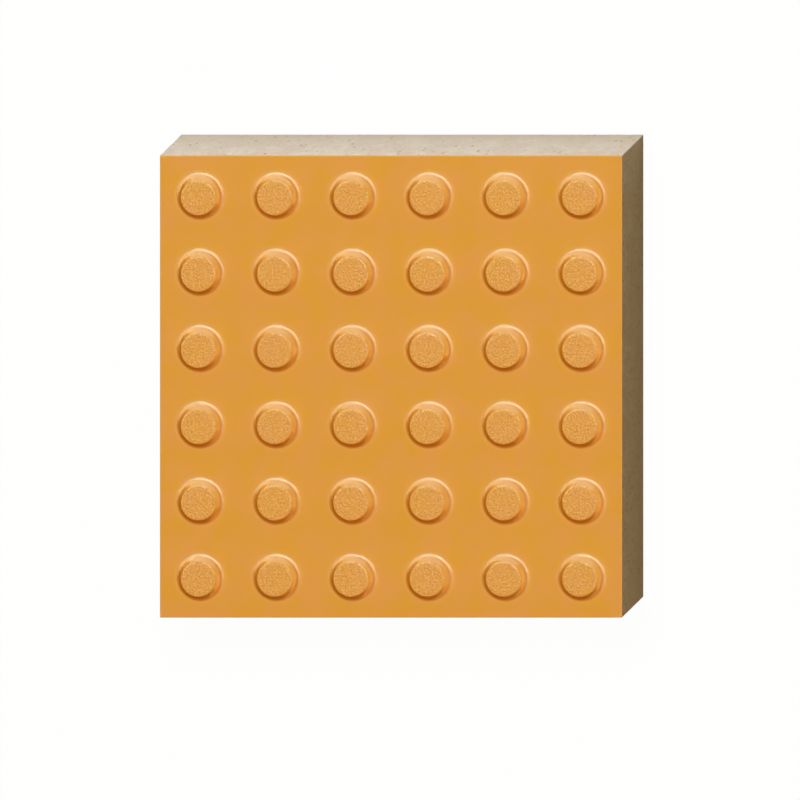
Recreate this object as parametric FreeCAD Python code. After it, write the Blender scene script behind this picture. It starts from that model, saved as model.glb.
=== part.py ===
# Tactile paving slab with truncated domes, as laid where a blind walker has to stop or turn.
# It is one dry-pressed and fired ceramic piece: a square slab with a coloured walking face,
# a square grid of round buttons pressed up out of that face, and a shallow waffle of ribs
# on the back that keys into the mortar bed.
# Frame: the origin is the centre of the bedding plane, +Z points up through the domes,
# and X and Y run along the slab's edges. All sizes are in millimetres.
import FreeCAD
import Part

import math
import os

from FreeCAD import Vector

# Slab
slab_side = 300.0
slab_thickness = 40.0
corner_round = 0.5
face_arris = 0.5
bedding_arris = 1.0

# Domes, from the rim of the flat top down to the flare of the foot
dome_pitch = 49.5
dome_height = 4.0
dome_top_diameter = 23.6
dome_base_diameter = 32.6
dome_rim_run = 1.1
dome_rim_drop = 0.7
dome_foot_run = 2.6
dome_foot_rise = 1.0
dome_edge_margin = 6.0

# Waffle on the back: its pockets share out what the plain rim and the ribs leave
key_rim_width = 13.0
key_rib_width = 5.0
key_pockets_across = 10
key_depth = 1.5
key_wall_run = 0.9

PARTS_FOLDER = "parts"
SLAB_NODE = "tactile_slab"
TINY = 1e-3


def edges_where(shape, test):
    """The edges of the shape whose bounding boxes pass the test."""
    return [edge for edge in shape.Edges if test(edge.BoundBox)]


def centred_grid(count, pitch):
    """Centres of a square grid with that many features each way, centred on the slab."""
    first = -(count - 1) * pitch / 2
    steps = [first + i * pitch for i in range(count)]
    return [Vector(x, y, 0) for x in steps for y in steps]


def slab_block():
    """A plain square block that stands on the bedding plane, centred on the origin."""
    corner = Vector(-slab_side / 2, -slab_side / 2, 0)
    return Part.makeBox(slab_side, slab_side, slab_thickness, corner)


def slab_blank():
    """The pressed block: its corners eased, and a bevel round its face and its back."""
    eased = slab_block()
    uprights = edges_where(eased, lambda box: box.ZLength > slab_thickness / 2)
    eased = eased.makeFillet(corner_round, uprights)
    bevelled = slab_block()
    face_edges = edges_where(bevelled, lambda box: box.ZMin > slab_thickness - TINY)
    bevelled = bevelled.makeChamfer(face_arris, face_edges)
    back_edges = edges_where(bevelled, lambda box: box.ZMax < TINY)
    bevelled = bevelled.makeChamfer(bedding_arris, back_edges)
    return eased.common(bevelled)


def dome():
    """One button on the slab's axis, turned from its section: flat top, rim, flank, flared foot."""
    top_radius = dome_top_diameter / 2
    base_radius = dome_base_diameter / 2
    section = [
        (0, 0),
        (base_radius, 0),
        (base_radius - dome_foot_run, dome_foot_rise),
        (top_radius, dome_height - dome_rim_drop),
        (top_radius - dome_rim_run, dome_height),
        (0, dome_height),
        (0, 0),
    ]
    outline = Part.makePolygon([Vector(r, 0, slab_thickness + z) for r, z in section])
    return Part.Face(outline).revolve(Vector(0, 0, 0), Vector(0, 0, 1), 360)


def key_pocket(side):
    """One recess of the waffle on the slab's axis, its mouth wider so that it leaves the die."""
    mouth = side / 2
    floor = mouth - key_wall_run
    pocket = Part.makeWedge(-mouth, 0, -mouth, -floor, -floor, mouth, key_depth, mouth, floor, floor)
    pocket.rotate(Vector(0, 0, 0), Vector(1, 0, 0), 90)
    return pocket


def copies_at(feature, places):
    """A copy of the feature moved to each place."""
    return [feature.translated(place) for place in places]


def raise_domes(blank):
    """The blank with as many domes as leave a flat margin between them and its edge."""
    room = slab_side - 2 * dome_edge_margin - dome_base_diameter
    domes_across = math.floor(room / dome_pitch + TINY) + 1
    places = centred_grid(domes_across, dome_pitch)
    return blank.fuse(copies_at(dome(), places))


def cut_key(body):
    """The body with the waffle sunk into its back, inside a plain rim."""
    room = slab_side - 2 * key_rim_width
    pitch = (room + key_rib_width) / key_pockets_across
    places = centred_grid(key_pockets_across, pitch)
    return body.cut(copies_at(key_pocket(pitch - key_rib_width), places))


def main():
    os.makedirs(PARTS_FOLDER, exist_ok=True)
    slab = cut_key(raise_domes(slab_blank())).Solids[0]
    print(SLAB_NODE, "valid", slab.isValid(), "volume", round(slab.Volume), "faces", len(slab.Faces))
    slab.exportStep(os.path.join(PARTS_FOLDER, SLAB_NODE + ".step"))


main()
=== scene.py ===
import math

import bpy
from mathutils import Matrix, Vector


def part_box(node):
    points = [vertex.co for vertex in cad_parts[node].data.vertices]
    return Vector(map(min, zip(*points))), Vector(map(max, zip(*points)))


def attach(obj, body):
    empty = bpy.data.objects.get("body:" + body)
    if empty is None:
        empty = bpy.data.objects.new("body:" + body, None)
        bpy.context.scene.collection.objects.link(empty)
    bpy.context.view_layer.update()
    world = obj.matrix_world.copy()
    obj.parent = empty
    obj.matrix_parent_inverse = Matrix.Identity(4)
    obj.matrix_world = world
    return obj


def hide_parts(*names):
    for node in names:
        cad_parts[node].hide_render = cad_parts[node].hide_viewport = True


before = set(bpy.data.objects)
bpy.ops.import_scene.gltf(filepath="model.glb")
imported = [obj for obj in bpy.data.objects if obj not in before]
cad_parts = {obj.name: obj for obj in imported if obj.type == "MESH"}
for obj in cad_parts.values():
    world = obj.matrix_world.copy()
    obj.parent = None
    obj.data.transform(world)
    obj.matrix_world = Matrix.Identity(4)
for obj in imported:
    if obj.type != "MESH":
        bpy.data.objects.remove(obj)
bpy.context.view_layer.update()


# The slab
# One square of granular clay, pressed face down in a steel die and fired hard. The die gives it
# a coloured walking face with rounded buttons, whose tops are grained so that a wet shoe grips,
# and the punch behind it gives a shallow waffle of ribs for the mortar. It lies on that back.
MM = 0.001
slab_low, slab_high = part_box("tactile_slab")
slab_side = slab_high.x - slab_low.x
dome_height = 4.0 * MM
slab_thickness = slab_high.z - slab_low.z - dome_height
domes_across = 6
dome_pitch = 49.5 * MM
flat_radius = 10.4 * MM
rim_round = 1.25 * MM
foot_round = 3.5 * MM
flank_slope = math.radians(50)
grain_radius = 11.3 * MM
grain_size = 0.9 * MM
grain_height = 0.42 * MM
grain_depth = 0.21 * MM
grain_full_share = 0.94
grain_detail = 1.5
grain_seed = 4.0
face_arris = 0.5 * MM
bedding_arris = 1.0 * MM
pockets_across = 10
waffle_rim = 13.0 * MM
waffle_rib = 5.0 * MM
waffle_depth = 1.5 * MM
waffle_wall_run = 0.9 * MM

# The lattice that the face is shaped from: cells to a dome and to the arris, and rings out to a
# dome's grain and foot, which crowd towards its rim. Edges under the sharp angle are smooth.
dome_cells = 48
arris_cells = 4
grain_rings = 14
foot_rings = 23
flank_crowding = 1.35
pocket_lines = 4
support_line = 0.4 * MM
sharp_angle = math.radians(38)
weld_distance = 0.01 * MM


class Wire:
    """A socket of a node tree. Arithmetic on it adds Math nodes, and add makes any other node."""

    def __init__(self, tree, socket=None):
        self.tree = tree
        self.socket = socket

    def add(self, kind, settings=None, inputs=None, output=0):
        """One output of a new node. Its settings come first, then its inputs: a list links several."""
        node = self.tree.nodes.new(kind)
        for name, value in (settings or {}).items():
            setattr(node, name, value)
        for name, value in (inputs or {}).items():
            if isinstance(value, (Wire, list)):
                for wire in value if isinstance(value, list) else [value]:
                    self.tree.links.new(wire.socket, node.inputs[name])
            else:
                node.inputs[name].default_value = value
        return Wire(self.tree, node.outputs[output] if node.outputs else None)

    def output(self, name):
        """Another output of this socket's node."""
        return Wire(self.tree, self.socket.node.outputs[name])

    def maths(self, operation, *values):
        return self.add("ShaderNodeMath", {"operation": operation}, dict(enumerate(values)))

    def parts(self):
        """The X, Y and Z of a vector."""
        x = self.add("ShaderNodeSeparateXYZ", None, {"Vector": self})
        return x, x.output("Y"), x.output("Z")

    def clamp(self, low, high):
        return self.add("ShaderNodeClamp", None, {"Value": self, "Min": low, "Max": high})

    def share(self, start, end):
        """How far the value is from start to end, held between 0 and 1."""
        inputs = {"Value": self, "From Min": start, "From Max": end}
        return self.add("ShaderNodeMapRange", {"clamp": True}, inputs)

    def __add__(self, other):
        return self.maths("ADD", self, other)

    def __radd__(self, other):
        return self.maths("ADD", other, self)

    def __sub__(self, other):
        return self.maths("SUBTRACT", self, other)

    def __rsub__(self, other):
        return self.maths("SUBTRACT", other, self)

    def __mul__(self, other):
        return self.maths("MULTIPLY", self, other)

    def __rmul__(self, other):
        return self.maths("MULTIPLY", other, self)

    def __truediv__(self, other):
        return self.maths("DIVIDE", self, other)

    def __pow__(self, other):
        return self.maths("POWER", self, other)

    def __abs__(self):
        return self.maths("ABSOLUTE", self)


def vector(x, y, z):
    """A vector wire from three values, of which x is a wire."""
    return x.add("ShaderNodeCombineXYZ", None, {"X": x, "Y": y, "Z": z})


def arc_fall(run, radius):
    """How far an arc of that radius has fallen below its crown at a run from the crown."""
    return radius - radius.maths("SQRT", radius * radius - run * run)


def square_ring(across, up):
    """The square ring that a point lies on, and its direction once that ring is made round."""
    wide = abs(across).maths("GREATER_THAN", abs(across), abs(up))
    ring = across.maths("MAXIMUM", abs(across), abs(up))
    turn = across.maths("MINIMUM", abs(across), abs(up)) / ring * (math.pi / 4)
    major = turn.maths("COSINE", turn)
    minor = turn.maths("SINE", turn)
    round_x = across.maths("SIGN", across) * (minor + wide * (major - minor))
    round_y = up.maths("SIGN", up) * (major + wide * (minor - major))
    return ring, round_x, round_y


def cloud(place, feature, detail, seed):
    """Soft noise from 0 to 1 with features of about that size."""
    settings = {"noise_dimensions": "4D"}
    inputs = {"Vector": place, "W": seed, "Scale": 1 / feature, "Detail": detail}
    return place.add("ShaderNodeTexNoise", settings, inputs)


def walking_face(size):
    """The face, its domes and its arris: one lattice, with round rings in each dome's cell."""
    domes = size["Domes across"]
    count = domes * dome_cells + 2 * arris_cells
    lines = {"Size X": count, "Size Y": count, "Vertices X": count + 1, "Vertices Y": count + 1}
    lattice = domes.add("GeometryNodeMeshGrid", None, lines)
    column, row, _ = domes.add("GeometryNodeInputPosition").parts()

    def in_pattern(line):
        """A line's dome centre, and its place in that dome's cell, in the border and on the arris."""
        turned = (line / dome_cells).clamp(domes * -0.5, domes * 0.5)
        cell = turned.maths("FLOOR", turned)
        border = line - turned * dome_cells
        flat = border.clamp(-1.0, 1.0)
        in_cell = (turned - cell) * 2 - 1
        on_arris = (border - flat) / (arris_cells - 1)
        return (cell + 0.5) * size["Dome pitch"], in_cell, flat, on_arris

    centre_x, cell_x, flat_x, arris_x = in_pattern(column)
    centre_y, cell_y, flat_y, arris_y = in_pattern(row)

    slope = size["Flank slope"]
    fall_run = slope.maths("SINE", slope)
    rim_run = size["Rim round"] * fall_run
    foot_run = size["Foot round"] * fall_run
    rounds_height = (size["Rim round"] + size["Foot round"]) * (1 - slope.maths("COSINE", slope))
    flank_grade = slope.maths("TANGENT", slope)
    flank_run = (size["Dome height"] - rounds_height) / flank_grade
    foot_radius = size["Flat radius"] + rim_run + flank_run + foot_run

    ring, round_x, round_y = square_ring(cell_x, cell_y)
    half_rings = dome_cells / 2
    in_grain = ring.share(0.0, grain_rings / half_rings)
    in_flank = ring.share(grain_rings / half_rings, foot_rings / half_rings) ** flank_crowding
    beyond = ring.share(foot_rings / half_rings, 1.0)
    radius = (
        size["Grain radius"] * in_grain
        + (foot_radius - size["Grain radius"]) * in_flank
        + (size["Dome pitch"] / 2 - foot_radius) * beyond
    )
    reach_x = (round_x + (cell_x / ring - round_x) * beyond) * radius
    reach_y = (round_y + (cell_y / ring - round_y) * beyond) * radius

    margin = size["Slab side"] / 2 - domes * size["Dome pitch"] / 2
    flat_margin = margin - size["Face arris"]
    arris, corner_x, corner_y = square_ring(arris_x, arris_y)
    roll = arris * (math.pi / 2)
    arris_run = size["Face arris"] * roll.maths("SINE", roll)
    arris_fall = size["Face arris"] * (1 - roll.maths("COSINE", roll))

    x = centre_x + reach_x + flat_x * flat_margin + corner_x * arris_run
    y = centre_y + reach_y + flat_y * flat_margin + corner_y * arris_run

    on_rim = (radius - size["Flat radius"]).clamp(0.0, rim_run)
    on_flank = (radius - size["Flat radius"] - rim_run).clamp(0.0, flank_run)
    to_foot = foot_run - (radius - size["Flat radius"] - rim_run - flank_run).clamp(0.0, foot_run)
    fall = (
        arc_fall(on_rim, size["Rim round"])
        + on_flank * flank_grade
        + arc_fall(foot_run, size["Foot round"])
        - arc_fall(to_foot, size["Foot round"])
    )
    grain_noise = cloud(vector(x, y, 0.0), grain_size, grain_detail, size["Grain seed"])
    on_top = 1 - radius.share(size["Grain radius"] * grain_full_share, size["Grain radius"])
    grain = ((grain_noise - 0.5) * 2 * size["Grain height"] - size["Grain depth"]) * on_top
    z = size["Slab thickness"] + size["Dome height"] - fall + grain - arris_fall
    shaped = {"Geometry": lattice, "Position": vector(x, y, z)}
    return lattice.add("GeometryNodeSetPosition", None, shaped)


def drawn_out(mesh, edges, place):
    """The mesh with those edges drawn out to a new place, and the new edges."""
    chosen = {"Mesh": mesh, "Selection": edges, "Offset Scale": 0.0}
    drawn = mesh.add("GeometryNodeExtrudeMesh", {"mode": "EDGES"}, chosen)
    new_edges = drawn.output("Top")
    moved = {"Geometry": drawn, "Selection": new_edges, "Position": place}
    return drawn.add("GeometryNodeSetPosition", None, moved), new_edges


def open_edges(mesh):
    """The edges that have a face on one side only."""
    faces = mesh.add("GeometryNodeInputMeshEdgeNeighbors")
    return faces.maths("LESS_THAN", faces, 1.5)


def sides(face, size):
    """The face with its outline drawn down to the bedding face, and in along the bedding arris."""
    x, y, _ = face.add("GeometryNodeInputPosition").parts()
    shell, outline = face, open_edges(face)
    wall_top = size["Slab thickness"] - size["Face arris"]
    wall_foot = size["Bedding arris"]
    for height in (wall_top - support_line, wall_foot + support_line, wall_foot):
        shell, outline = drawn_out(shell, outline, vector(x, y, height))
    pattern_half = size["Domes across"] * size["Dome pitch"] / 2
    margin = size["Slab side"] / 2 - pattern_half
    kept = (margin - size["Bedding arris"]) / margin

    def drawn_in(along):
        held = along.clamp(pattern_half * -1, pattern_half)
        return held + (along - held) * kept

    return drawn_out(shell, outline, vector(drawn_in(x), drawn_in(y), 0.0))


def waffle(size):
    """The back's pockets: a lattice with four lines to a pocket, two at its mouth and two at its floor."""
    across = size["Pockets across"]
    count = across * pocket_lines
    lines = {"Size X": count - 1, "Size Y": count - 1, "Vertices X": count, "Vertices Y": count}
    lattice = across.add("GeometryNodeMeshGrid", None, lines)
    column, row, _ = across.add("GeometryNodeInputPosition").parts()
    room = size["Slab side"] - 2 * size["Waffle rim"]
    pitch = (room + size["Waffle rib"]) / across
    mouth = (pitch - size["Waffle rib"]) / 2
    floor = mouth - size["Waffle wall run"]

    def in_pocket(line):
        """Where a line lies, and whether it is at a pocket's floor."""
        number = line + (count - 1) / 2
        # Half a line more, so that rounding never gives a pocket's first line to the one before
        pocket = number.maths("FLOOR", (number + 0.5) / pocket_lines)
        corner = number - pocket * pocket_lines - (pocket_lines - 1) / 2
        inner = corner.maths("LESS_THAN", abs(corner), 1.0)
        offset = corner.maths("SIGN", corner) * (mouth + (floor - mouth) * inner)
        return (pocket - (across - 1) / 2) * pitch + offset, inner

    x, floor_x = in_pocket(column)
    y, floor_y = in_pocket(row)
    place = vector(x, y, floor_x * floor_y * size["Waffle depth"])
    pressed = {"Geometry": lattice, "Position": place}
    return lattice.add("GeometryNodeSetPosition", None, pressed)


def bedding_rim(shell, outline, pockets):
    """The plain rim of the bedding face, between the slab's outline and the waffle."""
    outer = shell.add("GeometryNodeMeshToCurve", None, {"Mesh": shell, "Selection": outline})
    inner = shell.add("GeometryNodeMeshToCurve", None, {"Mesh": pockets, "Selection": open_edges(pockets)})
    both = shell.add("GeometryNodeJoinGeometry", None, {"Geometry": [outer, inner]})
    return shell.add("GeometryNodeFillCurve", {"mode": "TRIANGLES"}, {"Curve": both})


press_inputs = {
    "Domes across": domes_across,
    "Dome pitch": dome_pitch,
    "Dome height": dome_height,
    "Flat radius": flat_radius,
    "Rim round": rim_round,
    "Foot round": foot_round,
    "Flank slope": flank_slope,
    "Grain radius": grain_radius,
    "Grain height": grain_height,
    "Grain depth": grain_depth,
    "Grain seed": grain_seed,
    "Slab side": slab_side,
    "Slab thickness": slab_thickness,
    "Face arris": face_arris,
    "Bedding arris": bedding_arris,
    "Pockets across": pockets_across,
    "Waffle rim": waffle_rim,
    "Waffle rib": waffle_rib,
    "Waffle depth": waffle_depth,
    "Waffle wall run": waffle_wall_run,
}


def press_tree():
    """The node tree that presses the slab, with its sizes and its material as inputs."""
    tree = bpy.data.node_groups.new("slab_press", "GeometryNodeTree")
    tree.interface.new_socket("Slab", in_out="OUTPUT", socket_type="NodeSocketGeometry")
    for name, value in press_inputs.items():
        kind = "NodeSocketInt" if isinstance(value, int) else "NodeSocketFloat"
        tree.interface.new_socket(name, in_out="INPUT", socket_type=kind)
    tree.interface.new_socket("Ceramic", in_out="INPUT", socket_type="NodeSocketMaterial")
    given = Wire(tree).add("NodeGroupInput")
    size = {name: given.output(name) for name in press_inputs}
    shell, outline = sides(walking_face(size), size)
    pockets = waffle(size)
    back = [pockets, bedding_rim(shell, outline, pockets)]
    back = given.add("GeometryNodeJoinGeometry", None, {"Geometry": back})
    back = given.add("GeometryNodeFlipFaces", None, {"Mesh": back})
    slab = given.add("GeometryNodeJoinGeometry", None, {"Geometry": [shell, back]})
    slab = given.add("GeometryNodeMergeByDistance", None, {"Geometry": slab, "Distance": weld_distance})
    angle = given.add("GeometryNodeInputMeshEdgeAngle")
    smooth = angle.maths("LESS_THAN", angle, sharp_angle)
    slab = given.add("GeometryNodeSetShadeSmooth", {"domain": "FACE"}, {"Geometry": slab})
    softened = {"Geometry": slab, "Shade Smooth": smooth}
    slab = given.add("GeometryNodeSetShadeSmooth", {"domain": "EDGE"}, softened)
    slab = given.add("GeometryNodeRealizeInstances", None, {"Geometry": slab})
    dressed = {"Geometry": slab, "Material": given.output("Ceramic")}
    slab = given.add("GeometryNodeSetMaterial", None, dressed)
    slab.add("NodeGroupOutput", None, {"Slab": slab})
    return tree


# The ceramic: a coloured satin glaze on a paler granular body, which shows on the sides and back
glaze_orange = (0.738, 0.363, 0.048, 1.0)
glaze_rosy = (0.753, 0.358, 0.077, 1.0)
# Painted shade: this deep colour darkens each dome's flank and foot and the grit's pits
shade_glaze = (0.555, 0.186, 0.003, 1.0)
# Pale glaze: a faint tint over the domes' tops, and the painted highlight on the arris and the grit's tips
pale_glaze_and_highlight = (0.955, 0.525, 0.204, 1.0)
body_beige = (0.830, 0.750, 0.680, 1.0)
body_pale = (0.925, 0.865, 0.800, 1.0)
body_rosy = (0.820, 0.705, 0.635, 1.0)
# The colour of the body's dull patches and of the painted shade low on its sides
dull_and_shaded_body = (0.700, 0.610, 0.510, 1.0)
body_speck = (0.360, 0.280, 0.200, 1.0)

# Where each zone begins and is full: radii from a dome's centre, then a place across the slab and
# a depth below its face. The glaze's edge wavers a little.
# The flank zone is the band round each dome that takes the painted shade
flank_shade_start = (10.8 * MM, 11.8 * MM)
flank_shade_end = (14.4 * MM, 16.0 * MM)
top_end = (11.2 * MM, 12.4 * MM)
grain_end = (10.8 * MM, 11.3 * MM)
dome_end = (16.0 * MM, 17.6 * MM)
arris_start = (slab_side / 2 - 0.6 * MM, slab_side / 2 - 0.2 * MM)
glaze_end = (0.39 * MM, 0.51 * MM)
waver_noise = (4.0 * MM, 2.0, 0.0)
waver_height = 0.12 * MM

# Soft patches of colour: size, detail, seed, and the noise at which they begin and are full
rosy_glaze = (20.0 * MM, 3.0, 1.0, 0.38, 0.62)
pale_body = (8.0 * MM, 4.0, 3.0, 0.34, 0.66)
rosy_body = (14.0 * MM, 2.0, 8.0, 0.45, 0.60)
dull_body = (3.5 * MM, 3.0, 7.0, 0.50, 0.70)
dark_body = (1.6 * MM, 2.0, 9.0, 0.62, 0.76)

# How strongly each colour is laid over the one below it
# Painted highlight along the arris
arris_highlight = 0.42
grain_tint = 0.10
# Painted highlight on the grit's tips and painted shade in its pits
grain_tip_highlight = 0.66
grain_pit_shade = 0.28
rosy_body_tint = 0.80
# Painted shade low on the sides
low_shade_tint = 0.85
dull_body_tint = 0.60
dark_body_tint = 0.50
speck_tint = 0.75

# The grit on the domes' tops, and the finer relief of the glaze's peel and of the raw clay: size,
# detail, seed. The grit's tips are painted pale and its pits painted dark: painted highlight and shade.
grit_noise = (1.25 * MM, 1.0, 2.0)
grit_tips = (0.50, 0.66)
grit_pits = (0.31, 0.45)
grit_height = 1.1 * MM
peel_noise = (2.4 * MM, 1.0, 4.0)
peel_height = 0.008 * MM
clay_noise = (0.45 * MM, 3.0, 6.0)
clay_height = 0.05 * MM

# The specks in the body: one to a cell, dark within its core, and left out of most cells
speck_spacing = 3.6 * MM
speck_squash = 0.6
speck_core = (0.04, 0.34)
speck_chance = (0.56, 0.90)

# The finish: a matt body, and a thin hard skin of glaze that shines most on the domes' rounds
body_roughness = 0.90
glaze_roughness = 0.45
skin_roughness = 0.30
skin_index = 2.0
skin_on_flank = 0.142
skin_on_top = 0.072
skin_on_open_face = 0.030


def mixed(low, high, factor):
    """A colour from low to high. Each is a wire or a fixed colour, and the factor is a wire."""
    first_colour, second_colour, mixed_colour = 6, 7, 2
    inputs = {"Factor": factor, first_colour: low, second_colour: high}
    return factor.add("ShaderNodeMix", {"data_type": "RGBA"}, inputs, mixed_colour)


def patches(place, size, detail, seed, start, full):
    """Soft patches of about that size, from 0 between them to 1 inside them."""
    return cloud(place, size, detail, seed).share(start, full)


def bumps(noise, height):
    """Relief of that height, up and down from the surface."""
    return (noise - 0.5) * height


def from_dome(line):
    """How far a line across the face lies from its nearest dome's centre."""
    turned = line / dome_pitch + domes_across / 2
    return (turned.maths("FRACT", turned) - 0.5) * dome_pitch


ceramic = bpy.data.materials.new("fired_ceramic")
ceramic.use_nodes = True
ceramic.node_tree.nodes.clear()
place = Wire(ceramic.node_tree).add("ShaderNodeTexCoord", None, None, "Object")
x, y, z = place.parts()
dome_x, dome_y = from_dome(x), from_dome(y)
radius = x.maths("SQRT", dome_x * dome_x + dome_y * dome_y)

# The glaze ends in a slightly uneven line at the foot of the arris, and is painted paler on it as a
# highlight along the edge
waver = bumps(cloud(place, *waver_noise), waver_height)
on_face = 1 - (slab_thickness - z + waver).share(*glaze_end)
on_arris = (x.maths("MAXIMUM", abs(x), abs(y)) + waver).share(*arris_start)
on_grain = (1 - radius.share(*grain_end)) * on_face
on_top = 1 - radius.share(*top_end)
on_flank = radius.share(*flank_shade_start) * (1 - radius.share(*flank_shade_end))
off_dome = radius.share(*dome_end)

grit = cloud(place, *grit_noise)
glaze = mixed(glaze_orange, glaze_rosy, patches(place, *rosy_glaze))
# Painted shade: each dome's flank and foot are darkened all round, standing in for their shade
glaze = mixed(glaze, shade_glaze, on_flank)
# Painted highlight: the arris is painted paler all round
glaze = mixed(glaze, pale_glaze_and_highlight, on_arris * arris_highlight)
# A faint pale tint over each dome's top, with painted highlight on the grit's tips and painted shade in
# its pits
glaze = mixed(glaze, pale_glaze_and_highlight, on_grain * (grain_tint + grit.share(*grit_tips) * grain_tip_highlight))
glaze = mixed(glaze, shade_glaze, on_grain * (1 - grit.share(*grit_pits)) * grain_pit_shade)

body = mixed(body_beige, body_pale, patches(place, *pale_body))
body = mixed(body, body_rosy, patches(place, *rosy_body) * rosy_body_tint)
# Painted shade: the sides grow darker towards the bedding face, where the floor shades them
body = mixed(body, dull_and_shaded_body, (1 - z.share(0.0, slab_thickness)) * low_shade_tint)
body = mixed(body, dull_and_shaded_body, patches(place, *dull_body) * dull_body_tint)
body = mixed(body, body_speck, patches(place, *dark_body) * dark_body_tint)
speck_cells = {"Vector": vector(x, y, z * speck_squash), "Scale": 1 / speck_spacing}
speck = place.add("ShaderNodeTexVoronoi", None, speck_cells)
speck_draw, _, _ = speck.output("Color").parts()
on_speck = (1 - speck.share(*speck_core)) * speck_draw.share(*speck_chance)
body = mixed(body, body_speck, on_speck * speck_tint)

peel = bumps(cloud(place, *peel_noise), peel_height)
clay = bumps(cloud(place, *clay_noise), clay_height)
relief = on_face * (peel + on_grain * bumps(grit, grit_height)) + (1 - on_face) * clay
bump = place.add("ShaderNodeBump", None, {"Strength": 1.0, "Distance": 1.0, "Height": relief})
skin = (
    skin_on_flank
    - on_top * (skin_on_flank - skin_on_top)
    - off_dome * (skin_on_flank - skin_on_open_face)
)
finish = {
    "Base Color": mixed(body, glaze, on_face),
    "Roughness": body_roughness - on_face * (body_roughness - glaze_roughness),
    "Specular IOR Level": 0.0,
    "Coat Weight": on_face * (1 - on_arris) * skin,
    "Coat Roughness": skin_roughness,
    "Coat IOR": skin_index,
    "Normal": bump,
}
shader = place.add("ShaderNodeBsdfPrincipled", None, finish)
shader.add("ShaderNodeOutputMaterial", None, {"Surface": shader})


def pressed(name, tree, values, material):
    """The mesh that a press tree makes, as a plain object."""
    seed_mesh = bpy.data.meshes.new(name)
    maker = bpy.data.objects.new(name + "_press", seed_mesh)
    bpy.context.scene.collection.objects.link(maker)
    press = maker.modifiers.new("press", "NODES")
    press.node_group = tree
    sockets = {item.name: item.identifier for item in tree.interface.items_tree}
    for socket_name, value in values.items():
        press[sockets[socket_name]] = value
    press[sockets["Ceramic"]] = material
    evaluated = maker.evaluated_get(bpy.context.evaluated_depsgraph_get())
    mesh = bpy.data.meshes.new_from_object(evaluated)
    bpy.data.objects.remove(maker)
    bpy.data.meshes.remove(seed_mesh)
    mesh.name = name
    made = bpy.data.objects.new(name, mesh)
    bpy.context.scene.collection.objects.link(made)
    return made


slab = pressed("fired_slab", press_tree(), press_inputs, ceramic)
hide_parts("tactile_slab")
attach(slab, "root")


# The floor and the air round it
# A white studio floor, which looks white to the camera and in reflections but gives the slab's
# right side little light, and keeps a faint shadow of the slab. A white card lies on it beyond
# the slab and throws light back on the far side.
floor_half = 3.0
card_low = (-0.60, 0.155)
card_high = (0.20, 1.10)
card_lift = 0.2 * MM
seen_colour = (1.0, 1.0, 1.0, 1.0)
floor_grey = (0.12, 0.085, 0.03, 1.0)
card_white = (0.56, 0.56, 0.56, 1.0)
seen_glow = 0.97
ambient_colour = (0.85, 0.68, 0.08, 1.0)
ambient_strength = 0.160


def seen_directly(start):
    """1 for what the camera sees, itself or in a reflection, and 0 for light that only bounces."""
    path = start.add("ShaderNodeLightPath", None, None, "Is Camera Ray")
    mirrored = path.maths("MAXIMUM", path.output("Is Glossy Ray"), path.output("Is Transmission Ray"))
    return path.maths("MAXIMUM", path, mirrored)


def studio_sheet(name, low, high, height, bounce_colour):
    """A flat white sheet of the studio, with the colour that it gives to bounced light."""
    sheet_mesh = bpy.data.meshes.new(name)
    corners = [(low[0], low[1]), (high[0], low[1]), (high[0], high[1]), (low[0], high[1])]
    sheet_mesh.from_pydata([(x, y, height) for x, y in corners], [], [(0, 1, 2, 3)])
    sheet = bpy.data.objects.new(name, sheet_mesh)
    bpy.context.scene.collection.objects.link(sheet)
    paper = bpy.data.materials.new(name)
    paper.use_nodes = True
    paper.node_tree.nodes.clear()
    seen = seen_directly(Wire(paper.node_tree))
    paint = seen.add("ShaderNodeBsdfDiffuse", None, {"Color": mixed(bounce_colour, seen_colour, seen)})
    glow = seen.add("ShaderNodeEmission", None, {"Color": seen_colour, "Strength": 1.0})
    shader = seen.add("ShaderNodeMixShader", None, {0: seen * seen_glow, 1: paint, 2: glow})
    shader.add("ShaderNodeOutputMaterial", None, {"Surface": shader})
    sheet_mesh.materials.append(paper)


studio_sheet("floor", (-floor_half, -floor_half), (floor_half, floor_half), 0.0, floor_grey)
studio_sheet("bounce_card", card_low, card_high, card_lift, card_white)

air = bpy.data.worlds.new("studio_air")
air.use_nodes = True
air.node_tree.nodes.clear()
seen = seen_directly(Wire(air.node_tree))
dim = seen.add("ShaderNodeBackground", None, {"Color": ambient_colour, "Strength": ambient_strength})
white = seen.add("ShaderNodeBackground", None, {"Color": seen_colour, "Strength": 1.0})
sky = seen.add("ShaderNodeMixShader", None, {0: seen, 1: dim, 2: white})
sky.add("ShaderNodeOutputWorld", None, {"Surface": sky})
bpy.context.scene.world = air


# The lamps
# A large softbox beyond the slab's far side lights the face, the far wall and the domes' far
# flanks, and a weaker, warmer one on the near side fills their shade. The shine lamps stand closer
# and light nothing: they only give the glaze its soft reflections, each side in its own tint.
face_centre = Vector((0.0, 0.0, slab_thickness))
lamp_distance = 10.0
shine_distance = 3.0
white_light = (1.0, 1.0, 1.0)
fill_light = (1.0, 0.53, 0.25)
pale_light = (0.56, 0.97, 1.0)
cream_light = (0.56, 1.0, 0.84)
warm_light = (0.84, 0.87, 0.30)
amber_light = (1.0, 0.62, 0.14)

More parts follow.
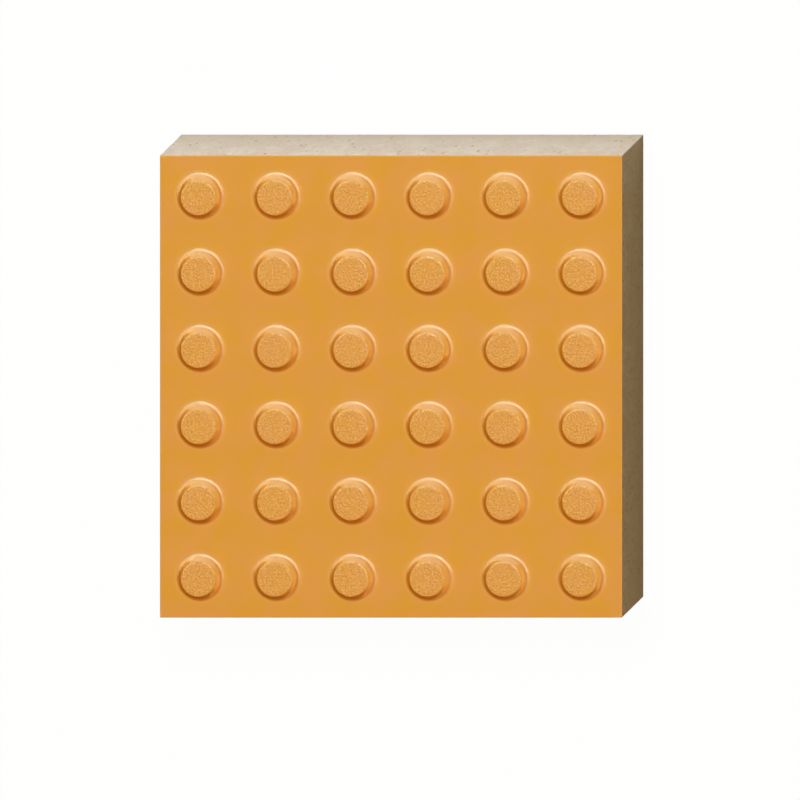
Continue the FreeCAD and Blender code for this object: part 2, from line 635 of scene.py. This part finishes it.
# Each lamp's azimuth, from +X towards +Y, and elevation, its width and height, power and tint
softboxes = {
    "key_softbox": (88, 52, 6.0, 6.0, 922, white_light),
    "fill_softbox": (280, 32, 8.0, 4.0, 332, fill_light),
}
shine_lamps = {
    "left_shine": (165, 38, 2.2, 2.2, 230, pale_light),
    "far_shine": (120, 55, 2.2, 2.2, 340, pale_light),
    "right_shine": (38, 69, 2.2, 2.2, 360, pale_light),
    "side_shine": (-38, 58, 2.0, 2.0, 150, pale_light),
    "low_shine": (94, 13, 8.0, 1.4, 730, cream_light),
    "warm_right": (10, 9, 5.4, 0.9, 330, warm_light),
    "warm_left": (162, 9, 3.4, 0.9, 220, warm_light),
    "amber_low": (-56, 4, 3.6, 0.45, 190, amber_light),
}


def soft_lamp(name, distance, azimuth, elevation, width, height, watts, tint):
    """A soft lamp at that distance, which looks at the slab and isn't seen itself."""
    lamp = bpy.data.lights.new(name, "AREA")
    lamp.shape = "RECTANGLE"
    lamp.size = width
    lamp.size_y = height
    lamp.energy = watts
    lamp.color = tint
    turn, tilt = math.radians(azimuth), math.radians(elevation)
    across = math.cos(tilt)
    towards = Vector((math.cos(turn) * across, math.sin(turn) * across, math.sin(tilt)))
    facing = towards.to_track_quat("Z", "Y").to_matrix().to_4x4()
    stand = bpy.data.objects.new(name, lamp)
    stand.matrix_world = Matrix.Translation(face_centre + towards * distance) @ facing
    stand.visible_camera = False
    bpy.context.scene.collection.objects.link(stand)
    return stand


for name, settings in softboxes.items():
    soft_lamp(name, lamp_distance, *settings)
for name, settings in shine_lamps.items():
    soft_lamp(name, shine_distance, *settings).visible_diffuse = False


# The camera
# The photograph shows the face square on and the far and right sides running back from it at 45
# degrees. A level camera whose sight lines all lean the same way gives that view.
picture_side = 800
pixels_per_metre = 1541
face_centre_column = 390.9
face_centre_row = 386.7
receding_columns = 21.8
receding_rows = 21.4
camera_distance = 2.0

thickness_pixels = slab_thickness * pixels_per_metre
lean_right = receding_columns / thickness_pixels
lean_up = receding_rows / thickness_pixels
sight = Vector((lean_right, lean_up, 1.0)).normalized()
aim = face_centre + Vector((
    (picture_side / 2 - face_centre_column) / pixels_per_metre,
    (face_centre_row - picture_side / 2) / pixels_per_metre,
    0.0,
))
camera_data = bpy.data.cameras.new("camera")
camera_data.type = "ORTHO"
camera_data.ortho_scale = picture_side / pixels_per_metre
camera = bpy.data.objects.new("camera", camera_data)
tripod = bpy.data.objects.new("camera_tripod", None)
bpy.context.scene.collection.objects.link(camera)
bpy.context.scene.collection.objects.link(tripod)
camera.parent = tripod
leaning = Matrix.Translation(aim + sight * camera_distance)
for axis in range(3):
    leaning[axis][2] = sight[axis]
camera.matrix_parent_inverse = leaning
bpy.context.scene.camera = camera
bpy.context.scene.view_settings.view_transform = "Standard"
